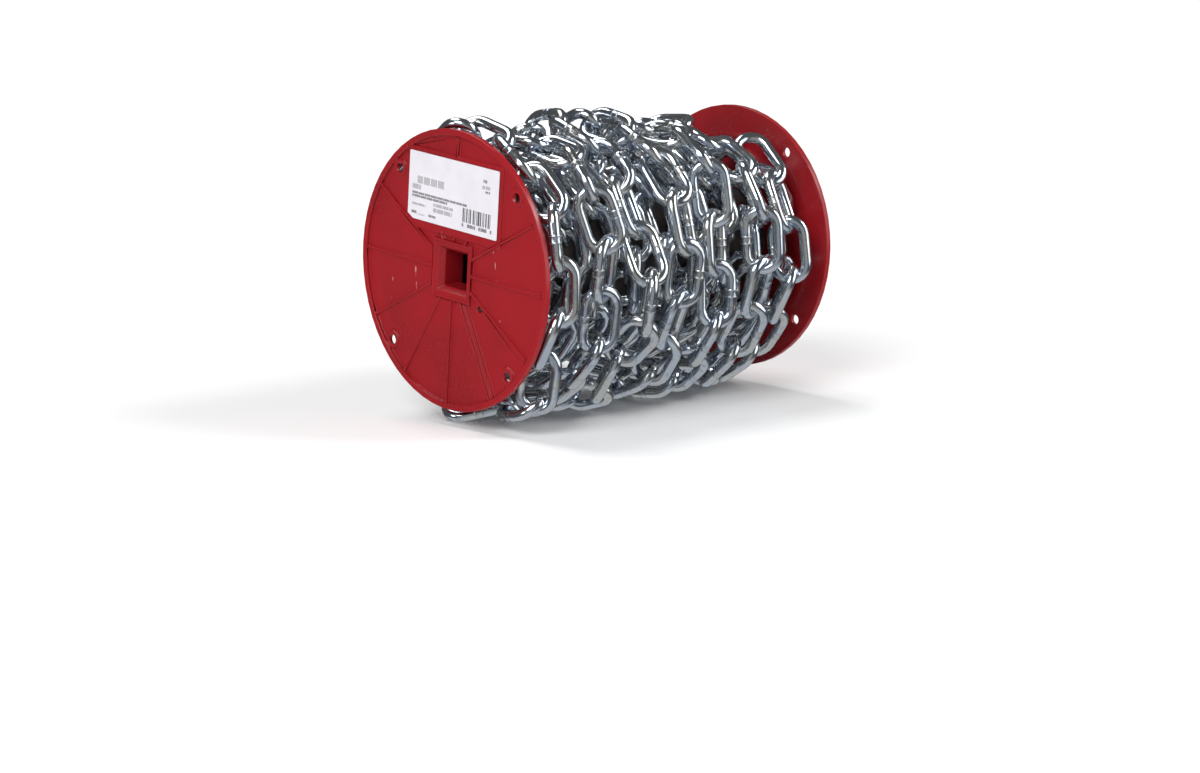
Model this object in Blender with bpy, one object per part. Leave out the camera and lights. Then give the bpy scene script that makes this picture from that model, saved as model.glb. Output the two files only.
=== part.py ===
"""Reel of zinc-plated short-link steel chain, lying on its side as it is kept in a shop.

The reel's axis runs along X. While it is modelled, the outer face of the near flange lies in the
plane X = 0 with the axis at Y = Z = 0; at the end everything is moved so that the origin is the
bottom centre of the whole. The chain's two outermost layers are modelled link by link. The
turns under them are one plain core.
"""
import bpy
import bmesh
import numpy as np
from collections import namedtuple
from math import acos, cos, hypot, pi, radians, sin, sqrt

# Reel: two moulded flanges and the tube between them, in metres
REEL_WIDTH = 0.1928
FLANGE_RADIUS = 0.0680
FLANGE_THICKNESS = 0.0030
RIM_WIDTH = 0.0032
WEB_RECESS = 0.0016
RIB_WIDTH = 0.0014
RIB_RECESS = 0.0004
PATTERN_TURN = radians(-5)
BARREL_RADIUS = 0.0250
BARREL_BORE = 0.0200
SPIGOT_LENGTH = 0.0120
FIT_GAP = 0.0003
ROUND_STEPS = 56

# Square hub: a raised frame with a ridge round it, a funnel, and the throat that goes right through
HUB_SIDE = 0.0285
HUB_RIDGE = 0.0014
HUB_STEP = 0.0006
HUB_MOUTH = 0.0226
HUB_THROAT = 0.0176
FUNNEL_DEPTH = 0.0040

# Label panel and label, as (left, right, bottom, top) seen from outside the near flange
PANEL = (-0.0360, 0.0336, 0.0163, 0.0556)
PANEL_RECESS = 0.0007
LABEL = (-0.0345, 0.0313, 0.0204, 0.0533)
LABEL_THICKNESS = 0.0002
LABEL_CORNER = 0.0008
LABEL_CUT = (0.0042, 0.0022)

# Holes in each flange
CORNER_HOLE_CENTRE = 0.0605
CORNER_HOLE_RADIUS = 0.0025
BOSS_RADIUS = 0.0046
TIE_HOLE = (0.0200, -0.0150)
TIE_HOLE_RADIUS = 0.0017

# Chain: wire thickness, inside length and inside width of a link
WIRE = 0.0055
PITCH = 0.0241
INSIDE_WIDTH = 0.0104
END_RADIUS = (INSIDE_WIDTH + WIRE) / 2
HALF_STRAIGHT = (PITCH + WIRE) / 2 - END_RADIUS
HALF_LINK = HALF_STRAIGHT + END_RADIUS

# How the chain lies on the reel
FLOOR = -0.0760
LINK_CLEARANCE = 0.00625
BEARING = 0.0006
HOOK_GAP = 0.0014
CORE_RADIUS = 0.0380
INNER_TURNS = 9
INNER_FIRST = 0.0140
INNER_LAST = 0.1790
INNER_LIFT = 0.0088
INNER_NAME = "chain_inner_turns"
OUTER_TURNS = (0.169, 0.149, 0.118, 0.0975, 0.068, 0.045, 0.0125)
OUTER_RADIUS = 0.0570
SAG_HEIGHT = 0.0650
SAG_RADIUS = 0.0700
SAG_FLAT = radians(22)
SAG_END = radians(48)
STRETCH_ANGLE = radians(120)
STRETCH_START = radians(30)
STRETCH_NAMES = ("front", "under", "back")
RIM_LINK_RADIUS = 0.0665
RIM_LINK_REACH = radians(13)
FIRST_TURNED = radians(32)
FIRST_LIFT = 0.0040
HOOKED_LINKS = 0.0039
ROLL_EASE = radians(15)
MOST_LIFT = 0.0165
LIFT_STEP = 0.00075
SHIFTS = (0, -0.0020, 0.0020, -0.0045, 0.0045)
TWISTS = tuple(radians(angle) for angle in (0, -14, 14, -28, 28))
REFUSED = 0.1
RAISE_STEP = 0.0020
MOST_TRIES = 4
EASY_BEND = radians(33)
BEND_COST = 0.02

CORE_STEPS = 32

# The free end: where each of its links is aimed, with its roll, and how the last link lies
TAIL = ((0.0130, -0.0475, -0.0500, 53), (0.0170, -0.0280, -0.0634, -28),
        (0.0250, -0.0070, -0.0666, 52))
TAIL_EASE = radians(30)
END_LINK_CENTRE = (0.0215, 0.0070, -0.0675)
END_LINK_HEADING = radians(140)
END_LINK_DIP = radians(12)
END_LINK_ROLL = radians(-30)

Link = namedtuple("Link", "centre along across stretch start end")
Wire = namedtuple("Wire", "radius sides end_steps")

# How finely each layer's wire is modelled: corners lie this far from the wire's centreline
OUTER_WIRE = Wire(WIRE / 2, 5, 4)
INNER_WIRE = Wire(0.0031, 4, 2)


def oval(end_steps, side_steps):
    """Centreline of a link in its own plane, as points (along, across)."""
    points = []
    for side in (1, -1):
        for i in range(end_steps + 1):
            angle = -pi / 2 + pi * i / end_steps
            points.append((side * (HALF_STRAIGHT + END_RADIUS * cos(angle)),
                           side * END_RADIUS * sin(angle)))
        for i in range(1, side_steps):
            points.append((side * HALF_STRAIGHT * (1 - 2 * i / side_steps), side * END_RADIUS))
    return np.array(points)


SAMPLES = oval(12, 6)


def joint(x, radius, angle):
    """Point where two links bear on each other; angle 0 faces -Y and a quarter turn is the top."""
    return np.array([x, -radius * cos(angle), radius * sin(angle)])


def link_between(start, end, roll, stretch, slack_start, slack_end):
    """A link that hangs between two joints, rolled about the line between them."""
    along = end - start
    along = along / np.linalg.norm(along)
    offset = HALF_LINK - (WIRE + slack_start) / 2
    centre = start + along * offset
    outward = np.array([0.0, centre[1], centre[2]])
    side = np.cross(outward, along)
    side = side / np.linalg.norm(side)
    across = side * cos(roll) + np.cross(along, side) * sin(roll)
    return Link(centre, along, across, stretch, start, end)


def centreline(link, shape):
    return link.centre + np.outer(shape[:, 0], link.along) + np.outer(shape[:, 1], link.across)


def eased(roll, target, most=ROLL_EASE):
    """A roll eased towards its target by a few degrees; half a turn makes no difference to a link."""
    off = (target - roll + pi / 2) % pi - pi / 2
    return roll + min(max(off, -most), most)


def nearest(points, others):
    """Least distance between two sets of points."""
    squares = (points ** 2).sum(1)[:, None] + (others ** 2).sum(1)[None, :] - 2 * points @ others.T
    return sqrt(max(squares.min(), 0))


class Winding:
    """The links laid so far. Each new link drops as low as the ones under it allow."""

    def __init__(self):
        self.links = []
        self.points = []

    def add(self, link):
        self.links.append(link)
        self.points.append(centreline(link, SAMPLES))

    def nearby(self, place, skip):
        reach = 2 * HALF_LINK + WIRE + PITCH / 2
        near = [points for link, points in zip(self.links, self.points)
                if link is not skip and np.linalg.norm(link.centre - place) < reach]
        return np.concatenate(near) if near else None

    def lay(self, first, last, guide_x, guide_radius, lift, wobble, stretch_of):
        """Lay links from one winding angle to another, in radians. Angle 0 is the top.

        Where a link finds no clear place, the one before it is taken up and laid a little higher.
        """
        radius = guide_radius(first) + lift
        start = joint(guide_x(first), radius, pi / 2 - first)
        states = [(first, start, HOOK_GAP, radians(-45), stretch_of(first))]
        raised = {}
        tries = {}
        while states[-1][0] < last:
            step = len(states) - 1
            turned, start, slack_start, roll, stretch = states[-1]
            radius = hypot(start[1], start[2])
            ahead = turned + PITCH / radius
            following = stretch_of(ahead)
            split = stretch != following or ahead >= last
            slack_end = HOOK_GAP if split else -BEARING
            even = radians(45 + 90 * (step % 2)) + wobble * sin(1.7 * len(self.links) + 0.6)
            make = self.maker(start, eased(roll + pi / 2, even), stretch, slack_start, slack_end)
            found = self.lowest(make, start, turned, guide_x(ahead),
                                guide_radius(ahead) + raised.get(step, 0), slack_start)
            if found[0] > REFUSED and step > 0 and tries.get(step, 0) < MOST_TRIES:
                tries[step] = tries.get(step, 0) + 1
                raised[step - 1] = raised.get(step - 1, 0) + RAISE_STEP
                self.links.pop()
                self.points.pop()
                states.pop()
                continue
            _, link, ahead, roll = found
            self.add(link)
            states.append((ahead, link.end, slack_end, roll, following))
        return roll

    def maker(self, start, even_roll, stretch, slack_start, slack_end):
        """A function that makes the next link from where its far joint is and its extra twist."""
        pitch = 2 * HALF_LINK - WIRE - (slack_start + slack_end) / 2

        def make(turned, x, radius, twist):
            here = hypot(start[1], start[2])
            cosine = (here ** 2 + radius ** 2 + (x - start[0]) ** 2 - pitch ** 2) / (2 * here * radius)
            if abs(cosine) > 1:
                return None
            ahead = turned + acos(cosine)
            end = joint(x, radius, pi / 2 - ahead)
            link = link_between(start, end, even_roll + twist, stretch, slack_start, slack_end)
            return link, ahead, even_roll + twist
        return make

    def lowest(self, make, start, turned, x, radius, slack_start):
        """The lowest clear place for the next link, near the guide's own place and roll."""
        previous = self.links[-1] if self.links else None
        near = self.nearby(start, previous)
        best = (2 * REFUSED, None)
        for lift in np.arange(0, MOST_LIFT, LIFT_STEP):
            if best[0] < lift:
                break
            for shift in SHIFTS:
                for twist in TWISTS:
                    made = make(turned, x + shift, radius + lift, twist)
                    if made is None:
                        continue
                    room = self.room(centreline(made[0], SAMPLES), near, slack_start)
                    cost = lift + 0.8 * abs(shift) + 0.008 * abs(twist)
                    if previous and previous.end is start:
                        bend = acos(min(1, previous.along @ made[0].along))
                        cost += BEND_COST * max(0, bend - EASY_BEND)
                    if room < 0:
                        cost += REFUSED - 6 * room
                    if cost < best[0]:
                        best = (cost, *made)
        return best

    def room(self, points, near, slack):
        """How far a link is from touching anything, less than 0 where it touches."""
        half = WIRE / 2
        hooked = WIRE + FIT_GAP if slack > 0 else HOOKED_LINKS
        limits = [
            np.hypot(points[:, 1], points[:, 2]).min() - CORE_RADIUS - half - FIT_GAP,
            points[:, 2].min() - FLOOR - half,
            self.flange_room(points[:, 0], points),
            self.flange_room(REEL_WIDTH - points[:, 0], points),
        ]
        if self.points:
            limits.append(nearest(points, self.points[-1]) - hooked)
        if near is not None:
            limits.append(nearest(points, near) - LINK_CLEARANCE)
        return min(limits)

    def flange_room(self, depth, points):
        """Room to one flange: a link keeps inside it, or leans over its rim."""
        inside = depth - FLANGE_THICKNESS - WIRE / 2 - 2 * FIT_GAP
        over = np.hypot(points[:, 1], points[:, 2]) - FLANGE_RADIUS - WIRE / 2 - 2 * FIT_GAP
        return np.maximum(inside, over).min()

    def trail(self, aims, roll):
        """Lay the free end from the last link: each link points at its own aim."""
        start = self.links[-1].end
        slack_start = HOOK_GAP
        for x, y, z, even in aims:
            pitch = 2 * HALF_LINK - WIRE - (slack_start - BEARING) / 2
            towards = np.array([x, y, z]) - start
            end = start + towards * pitch / np.linalg.norm(towards)
            roll = eased(roll + pi / 2, radians(even), TAIL_EASE)
            self.add(link_between(start, end, roll, "chain_tail", slack_start, -BEARING))
            start = end
            slack_start = -BEARING


def end_link():
    """The last link of all, lying on the floor with its raised end through the link before it."""
    along = np.array([cos(END_LINK_DIP) * cos(END_LINK_HEADING),
                      cos(END_LINK_DIP) * sin(END_LINK_HEADING), -sin(END_LINK_DIP)])
    side = np.cross(np.array([0.0, 0.0, -1.0]), along)
    side = side / np.linalg.norm(side)
    across = side * cos(END_LINK_ROLL) + np.cross(along, side) * sin(END_LINK_ROLL)
    centre = np.array(END_LINK_CENTRE)
    reach = along * PITCH / 2
    return Link(centre, along, across, "chain_end_link", centre - reach, centre + reach)


def between(values, turned, hold):
    """Place along X at a winding angle: steady for a part of each turn, then over to the next."""
    turn = int(turned // (2 * pi))
    part = min(max(((turned / (2 * pi)) % 1 - hold) / (1 - hold), 0), 1)
    part = part * part * (3 - 2 * part)
    first = values[min(max(turn, 0), len(values) - 1)]
    second = values[min(turn + 1, len(values) - 1)]
    return first + (second - first) * part


def sagging_radius(turned):
    """Guide radius of the outer layer: slack loops hang under the reel and lie on the floor.

    Where the last turn comes over the top it climbs onto the near flange's rim.
    """
    if abs(turned - 2 * pi * (len(OUTER_TURNS) - 1)) < RIM_LINK_REACH:
        return RIM_LINK_RADIUS
    from_bottom = abs((turned % (2 * pi)) - pi)
    if from_bottom < SAG_FLAT:
        return SAG_HEIGHT / cos(from_bottom)
    if from_bottom < SAG_END:
        return SAG_RADIUS + (OUTER_RADIUS - SAG_RADIUS) * (from_bottom - SAG_FLAT) / (SAG_END - SAG_FLAT)
    return OUTER_RADIUS


def wind_chain():
    """Both layers of links: the inner one from left to right, the outer one back."""
    winding = Winding()
    inner = np.linspace(INNER_FIRST, INNER_LAST, INNER_TURNS)
    winding.lay(0, 2 * pi * (INNER_TURNS - 0.45), lambda t: between(inner, t, 0.4),
                lambda t: CORE_RADIUS + INNER_LIFT, 0, radians(6), lambda t: INNER_NAME)
    roll = winding.lay(FIRST_TURNED, 2 * pi * (len(OUTER_TURNS) - 1) + radians(112),
                       lambda t: between(OUTER_TURNS, t, 0.5), sagging_radius, FIRST_LIFT,
                       radians(6), stretch_name)
    winding.trail(TAIL, roll)
    winding.add(end_link())
    return winding.links


def stretch_name(turned):
    """Each turn of the outer layer is three stretches, a third of a turn each."""
    third = int((turned - STRETCH_START) // STRETCH_ANGLE)
    return f"chain_turn_{third // 3 + 1}_{STRETCH_NAMES[third % 3]}"


def material(name, colour, roughness, metallic):
    made = bpy.data.materials.new(name)
    made.use_nodes = True
    shader = made.node_tree.nodes["Principled BSDF"]
    shader.inputs["Base Color"].default_value = (*colour, 1)
    shader.inputs["Roughness"].default_value = roughness
    shader.inputs["Metallic"].default_value = metallic
    return made


def new_object(name, mesh, surface=None):
    made = bpy.data.objects.new(name, mesh)
    bpy.context.collection.objects.link(made)
    if surface:
        mesh.materials.append(surface)
    return made


def mesh_object(name, form, surface=None):
    """Turn a bmesh into an object, with its faces pointing out."""
    bmesh.ops.recalc_face_normals(form, faces=form.faces)
    mesh = bpy.data.meshes.new(name)
    form.to_mesh(mesh)
    form.free()
    return new_object(name, mesh, surface)


def cutter(name, form):
    made = mesh_object(name, form)
    made.hide_render = True
    made.display_type = "WIRE"
    return made


def combine(target, tool, operation):
    """Cut or join with a tool, which moves along with its target."""
    tool.parent = target
    change = target.modifiers.new(tool.name, "BOOLEAN")
    change.operation = operation
    change.solver = "EXACT"
    change.object = tool


def add_link(form, link, wire):
    """One link, its wire swept round its oval centreline."""
    shape = oval(wire.end_steps, 1)
    ring_centres = centreline(link, shape)
    upright = np.cross(link.along, link.across)
    inward = []
    for along, across in shape:
        centre = max(min(along, HALF_STRAIGHT), -HALF_STRAIGHT)
        to_centre = (centre - along) * link.along - across * link.across
        inward.append(to_centre / np.linalg.norm(to_centre))
    rings = []
    for centre, towards in zip(ring_centres, inward):
        ring = []
        for i in range(wire.sides):
            angle = 2 * pi * i / wire.sides
            place = centre + wire.radius * (cos(angle) * towards + sin(angle) * upright)
            ring.append(form.verts.new(place))
        rings.append(ring)
    for ring, following in zip(rings, rings[1:] + rings[:1]):
        for i in range(wire.sides):
            j = (i + 1) % wire.sides
            form.faces.new((ring[i], ring[j], following[j], following[i]))


def build_stretch(name, links, wire, surface):
    """A stretch of chain: every other link, joined by a Boolean union to the links between them."""
    form = bmesh.new()
    for link in links[::2]:
        add_link(form, link, wire)
    stretch = mesh_object(name, form, surface)
    if len(links) > 1:
        form = bmesh.new()
        for link in links[1::2]:
            add_link(form, link, wire)
        combine(stretch, cutter(f"{name}_between", form), "UNION")
    return stretch


def build_chain(links, surface):
    """The inner layer as one solid, and the outer one as a solid for each stretch."""
    stretches = {}
    for link in links:
        stretches.setdefault(link.stretch, []).append(link)
    return [build_stretch(name, members, INNER_WIRE if name == INNER_NAME else OUTER_WIRE, surface)
            for name, members in stretches.items()]


def build_core(surface):
    """The turns under both layers as one plain ring that stays just under every inner link."""
    top = CORE_RADIUS - (INNER_WIRE.radius - WIRE / 2)
    return between_flanges("chain_core", BARREL_RADIUS + FIT_GAP, top, surface, CORE_STEPS)


def between_flanges(name, bore, top, surface, steps):
    """A plain tube that fills the room between the flanges."""
    low = FLANGE_THICKNESS + FIT_GAP
    high = REEL_WIDTH - low
    return turned(name, [(low, bore), (low, top), (high, top), (high, bore)], surface, steps)


def turned(name, profile, surface, steps):
    """A ring turned about the reel's axis from a closed (x, radius) outline."""
    form = bmesh.new()
    edge = [form.verts.new((x, 0, radius)) for x, radius in profile]
    form.edges.new((edge[-1], edge[0]))
    for first, second in zip(edge, edge[1:]):
        form.edges.new((first, second))
    bmesh.ops.spin(form, geom=form.verts[:] + form.edges[:], cent=(0, 0, 0), axis=(1, 0, 0),
                   angle=2 * pi, steps=steps, use_merge=True)
    bmesh.ops.remove_doubles(form, verts=form.verts, dist=1e-6)
    return mesh_object(name, form, surface)


def label_outline(steps=3):
    """The label's edge as (across, up) points: its lower left corner is cut off."""
    left, right, bottom, top = LABEL
    points = []
    for x, z, start in ((right - LABEL_CORNER, bottom + LABEL_CORNER, 270),
                        (right - LABEL_CORNER, top - LABEL_CORNER, 0),
                        (left + LABEL_CORNER, top - LABEL_CORNER, 90)):
        for i in range(steps + 1):
            angle = radians(start + 90 * i / steps)
            points.append((x + LABEL_CORNER * cos(angle), z + LABEL_CORNER * sin(angle)))
    return points + [(left, bottom + LABEL_CUT[1]), (left + LABEL_CUT[0], bottom)]


def flange_point(across, up, depth):
    """A point on the near flange: across and up as seen from outside, depth into the reel."""
    turned_across = across * cos(PATTERN_TURN) - up * sin(PATTERN_TURN)
    turned_up = across * sin(PATTERN_TURN) + up * cos(PATTERN_TURN)
    return (depth, -turned_across, turned_up)


def add_slab(form, outline, front, back, back_outline=None):
    """A plate between two depths, with an outline at each."""
    fronts = [form.verts.new(flange_point(x, z, front)) for x, z in outline]
    backs = [form.verts.new(flange_point(x, z, back)) for x, z in back_outline or outline]
    form.faces.new(fronts)
    form.faces.new(backs[::-1])
    for i in range(len(outline)):
        j = (i + 1) % len(outline)
        form.faces.new((fronts[i], backs[i], backs[j], fronts[j]))


def square(half):
    return [(-half, -half), (half, -half), (half, half), (-half, half)]


def circle(x, z, radius, steps):
    return [(x + radius * cos(2 * pi * i / steps), z + radius * sin(2 * pi * i / steps))
            for i in range(steps)]


def bar(angle, from_radius, to_radius, offset=0.0):
    """Outline of a rib along a radius, RIB_WIDTH wide."""
    points = []
    for reach, side in ((from_radius, -1), (to_radius, -1), (to_radius, 1), (from_radius, 1)):
        aside = offset + side * RIB_WIDTH / 2
        points.append((reach * cos(angle) - aside * sin(angle), reach * sin(angle) + aside * cos(angle)))
    return points


def rib_outlines():
    """Twelve radial ribs; those over the label panel are cut short, and one is a pair."""
    rim = FLANGE_RADIUS - RIM_WIDTH / 2
    hub = HUB_SIDE / 2
    ribs = [bar(radians(angle), hub - 0.001, rim) for angle in (0, 180, 210, 240, 270, 330)]
    ribs += [bar(radians(300), hub, rim, offset) for offset in (-0.0018, 0.0018)]
    ribs += [bar(radians(30), hub + 0.001, rim), bar(radians(150), hub + 0.001, rim)]
    ribs += [bar(radians(90), PANEL[3] - 0.001, rim)]
    ribs += [bar(radians(angle), hub, PANEL[2] / sin(radians(angle)) + 0.001) for angle in (60, 90, 120)]
    return ribs


def build_flange(name, surface):
    """One moulded end: web, rim, ribs, label panel, square hub, spigot, and its holes."""
    rim_front = 0.0
    web_front = WEB_RECESS
    inner_rim = FLANGE_RADIUS - RIM_WIDTH
    flange = turned(name, [(rim_front, FLANGE_RADIUS), (FLANGE_THICKNESS, FLANGE_RADIUS),
                           (FLANGE_THICKNESS, 0.004), (web_front, 0.004), (web_front, inner_rim),
                           (rim_front, inner_rim)], surface, ROUND_STEPS)
    raised = [(rib, RIB_RECESS) for rib in rib_outlines()]
    raised.append(([(PANEL[0], PANEL[2]), (PANEL[1], PANEL[2]), (PANEL[1], PANEL[3]),
                    (PANEL[0], PANEL[3])], PANEL_RECESS))
    for angle in (45, 135, 225, 315):
        x = CORNER_HOLE_CENTRE * cos(radians(angle))
        z = CORNER_HOLE_CENTRE * sin(radians(angle))
        raised.append((circle(x, z, BOSS_RADIUS, 12), PANEL_RECESS))
    middle = (web_front + FLANGE_THICKNESS) / 2
    for i, (outline, front) in enumerate(raised):
        form = bmesh.new()
        add_slab(form, outline, front, middle)
        combine(flange, cutter(f"{name}_raised_{i}", form), "UNION")
    form = bmesh.new()
    add_slab(form, square(HUB_SIDE / 2), rim_front, FLANGE_THICKNESS + FIT_GAP / 2)
    combine(flange, cutter(f"{name}_hub", form), "UNION")
    form = bmesh.new()
    add_slab(form, circle(0, 0, BARREL_BORE - FIT_GAP, 24), middle, FLANGE_THICKNESS + SPIGOT_LENGTH)
    combine(flange, cutter(f"{name}_spigot", form), "UNION")
    form = bmesh.new()
    add_slab(form, square(HUB_SIDE / 2 - HUB_RIDGE), -0.001, HUB_STEP)
    combine(flange, cutter(f"{name}_step", form), "DIFFERENCE")
    form = bmesh.new()
    add_slab(form, square(HUB_MOUTH / 2), rim_front, FUNNEL_DEPTH, square(HUB_THROAT / 2))
    combine(flange, cutter(f"{name}_funnel", form), "DIFFERENCE")
    form = bmesh.new()
    add_slab(form, square(HUB_THROAT / 2), -0.001, FLANGE_THICKNESS + SPIGOT_LENGTH + 0.001)
    combine(flange, cutter(f"{name}_throat", form), "DIFFERENCE")
    form = bmesh.new()
    for angle in (45, 135, 225, 315):
        x = CORNER_HOLE_CENTRE * cos(radians(angle))
        z = CORNER_HOLE_CENTRE * sin(radians(angle))
        add_slab(form, circle(x, z, CORNER_HOLE_RADIUS, 12), -0.001, FLANGE_THICKNESS + 0.001)
    add_slab(form, circle(*TIE_HOLE, TIE_HOLE_RADIUS, 10), -0.001, FLANGE_THICKNESS + 0.001)
    combine(flange, cutter(f"{name}_holes", form), "DIFFERENCE")
    return flange


def build_label(surface):
    form = bmesh.new()
    add_slab(form, label_outline(), PANEL_RECESS - FIT_GAP - LABEL_THICKNESS, PANEL_RECESS - FIT_GAP)
    return mesh_object("label", form, surface)


def main():
    for old in list(bpy.data.objects):
        bpy.data.objects.remove(old, do_unlink=True)
    red = material("red_plastic", (0.42, 0.012, 0.02), 0.35, 0)
    zinc = material("zinc_plated_steel", (0.62, 0.64, 0.67), 0.25, 1)
    paper = material("label_paper", (0.85, 0.84, 0.86), 0.6, 0)
    board = material("tube_board", (0.10, 0.075, 0.055), 0.9, 0)
    parts = build_chain(wind_chain(), zinc)
    parts.append(build_core(zinc))
    parts.append(between_flanges("barrel", BARREL_BORE, BARREL_RADIUS, board, ROUND_STEPS))
    near = build_flange("flange_near", red)
    far = build_flange("flange_far", red)
    far.rotation_euler = (0, 0, pi)
    far.location = (REEL_WIDTH, 0, 0)
    parts += [near, far, build_label(paper)]
    stand_on_floor(parts)


def stand_on_floor(parts):
    """Move the whole so that the origin is the bottom centre of its box."""
    bpy.context.view_layer.update()
    graph = bpy.context.evaluated_depsgraph_get()
    corners = []
    for made in parts:
        shaped = made.evaluated_get(graph)
        place = np.array(made.matrix_world)
        points = np.array([vertex.co[:] for vertex in shaped.data.vertices])
        corners.append(points @ place[:3, :3].T + place[:3, 3])
    corners = np.concatenate(corners)
    low = corners.min(0)
    high = corners.max(0)
    reel = bpy.data.objects.new("reel_of_chain", None)
    bpy.context.collection.objects.link(reel)
    for made in bpy.context.collection.objects:
        if made is not reel and not made.parent:
            made.parent = reel
    reel.location = (-(low[0] + high[0]) / 2, -(low[1] + high[1]) / 2, -low[2])


if __name__ == "__main__":
    main()
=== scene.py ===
"""Reel of zinc-plated chain lying on its side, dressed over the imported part.

The winding is worked out by the same rule as in the part, in the frame where the outer face of the
near flange is the plane X = 0 and the reel's axis is Y = Z = 0, and each link is then moved onto
the part. Sizes are in metres.
"""
from collections import namedtuple
from math import acos, asin, cos, hypot, pi, radians, sin, sqrt

import bpy
import numpy as np
from bpy.props import FloatProperty, FloatVectorProperty, PointerProperty
from mathutils import Matrix, Vector


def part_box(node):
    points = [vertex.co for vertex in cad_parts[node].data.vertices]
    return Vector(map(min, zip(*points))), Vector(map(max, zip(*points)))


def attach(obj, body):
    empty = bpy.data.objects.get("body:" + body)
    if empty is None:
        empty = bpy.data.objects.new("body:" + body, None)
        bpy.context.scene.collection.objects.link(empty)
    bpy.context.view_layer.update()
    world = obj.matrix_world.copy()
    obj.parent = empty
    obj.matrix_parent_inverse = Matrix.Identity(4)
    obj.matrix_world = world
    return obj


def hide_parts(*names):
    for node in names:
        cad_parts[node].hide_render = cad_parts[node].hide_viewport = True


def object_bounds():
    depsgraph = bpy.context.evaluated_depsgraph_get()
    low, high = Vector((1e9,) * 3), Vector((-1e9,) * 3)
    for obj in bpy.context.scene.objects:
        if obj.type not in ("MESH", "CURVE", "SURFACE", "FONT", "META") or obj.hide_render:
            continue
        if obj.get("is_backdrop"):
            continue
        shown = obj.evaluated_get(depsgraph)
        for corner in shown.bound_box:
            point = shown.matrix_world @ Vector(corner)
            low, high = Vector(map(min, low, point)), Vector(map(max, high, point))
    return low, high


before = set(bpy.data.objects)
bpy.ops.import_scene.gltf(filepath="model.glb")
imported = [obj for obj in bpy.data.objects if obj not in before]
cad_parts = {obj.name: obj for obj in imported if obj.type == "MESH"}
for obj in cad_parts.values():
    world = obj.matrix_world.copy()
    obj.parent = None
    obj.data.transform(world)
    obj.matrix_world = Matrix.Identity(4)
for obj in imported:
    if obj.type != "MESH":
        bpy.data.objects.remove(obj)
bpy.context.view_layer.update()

bl_info = {
    "name": "Reel of Chain",
    "version": (1, 0, 0),
    "blender": (4, 5, 0),
    "location": "View3D > Sidebar > Reel of Chain",
    "description": "Dresses a packed reel of zinc-plated chain",
    "category": "Object",
}

# The solids' box, and places read from the frame
BARREL_LOW, BARREL_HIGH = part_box("barrel")
AXIS_Y = (BARREL_LOW[1] + BARREL_HIGH[1]) / 2
AXIS_Z = (BARREL_LOW[2] + BARREL_HIGH[2]) / 2
NEAR_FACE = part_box("flange_near")[0][0]
FAR_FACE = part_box("flange_far")[1][0]
REEL_WIDTH = FAR_FACE - NEAR_FACE
ONTO_PART = Vector((NEAR_FACE, AXIS_Y, AXIS_Z))

# Flanges, and the label as (left, right, bottom, top) from the reel's axis, as in the part
FLANGE_RADIUS = 0.0680
FLANGE_THICKNESS = 0.0030
PATTERN_TURN = radians(-5)
FIT_GAP = 0.0003
LABEL = (-0.0345, 0.0313, 0.0204, 0.0533)

# Chain: wire thickness, inside length and inside width of a link
WIRE = 0.0055
PITCH = 0.0241
INSIDE_WIDTH = 0.0104
END_RADIUS = (INSIDE_WIDTH + WIRE) / 2
HALF_STRAIGHT = (PITCH + WIRE) / 2 - END_RADIUS
HALF_LINK = HALF_STRAIGHT + END_RADIUS

# How links lie: the floor's height from the reel's axis, the least room between the centrelines of
# wires, also of hooked ones, how far hooked links bear into each other, and the play where one
# stretch hooks into the next
FLOOR = -0.0760
LINK_CLEARANCE = 0.00625
HOOKED_LINKS = 0.0039
BEARING = 0.0006
HOOK_GAP = 0.0014

# The inner layer: its turns, the part of each turn that runs straight round, the part of a turn by
# which the last one is short, and its name and how many of its links make a piece
CORE_RADIUS = 0.0380
INNER_TURNS = 9
INNER_FIRST = 0.0140
INNER_LAST = 0.1790
INNER_LIFT = 0.0088
INNER_HOLD = 0.4
INNER_SHORT = 0.45
INNER_NAME = "chain_inner_turns"
INNER_PIECE = 12

# The outer layer: where each turn runs along the reel, and its slack loops, which lie on the floor
OUTER_TURNS = (0.169, 0.149, 0.118, 0.0975, 0.068, 0.045, 0.0125)
OUTER_RADIUS = 0.0570
OUTER_HOLD = 0.5
OUTER_START = radians(32)
OUTER_START_LIFT = 0.0040
OUTER_END = radians(112)
SAG_HEIGHT = 0.0650
SAG_RADIUS = 0.0700
SAG_FLAT = radians(22)
SAG_END = radians(48)

# Its stretches, each a third of a turn, and the link that leans over the near flange's rim
STRETCH_ANGLE = radians(120)
STRETCH_START = radians(30)
STRETCH_NAMES = ("front", "under", "back")
RIM_LINK_RADIUS = 0.0665
RIM_LINK_REACH = radians(13)

# How a link is rolled from the one before it, and what is tried until it lies clear
ROLL_EASE = radians(15)
WOBBLE = radians(6)
WOBBLE_STEP = 1.7
WOBBLE_START = 0.6
MOST_LIFT = 0.0165
LIFT_STEP = 0.00075
SHIFTS = (0, -0.0020, 0.0020, -0.0045, 0.0045)
TWISTS = tuple(radians(angle) for angle in (0, -14, 14, -28, 28))
RAISE_STEP = 0.0020
MOST_TRIES = 4

# What a place costs, in metres of lift, for a metre of shift, a radian of twist, a radian of bend past
# the easy one, and a metre of overlap, which also adds what a refused place costs
SHIFT_COST = 0.8
TWIST_COST = 0.008
EASY_BEND = radians(33)
BEND_COST = 0.02
TOUCH_COST = 6
REFUSED = 0.1

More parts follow.
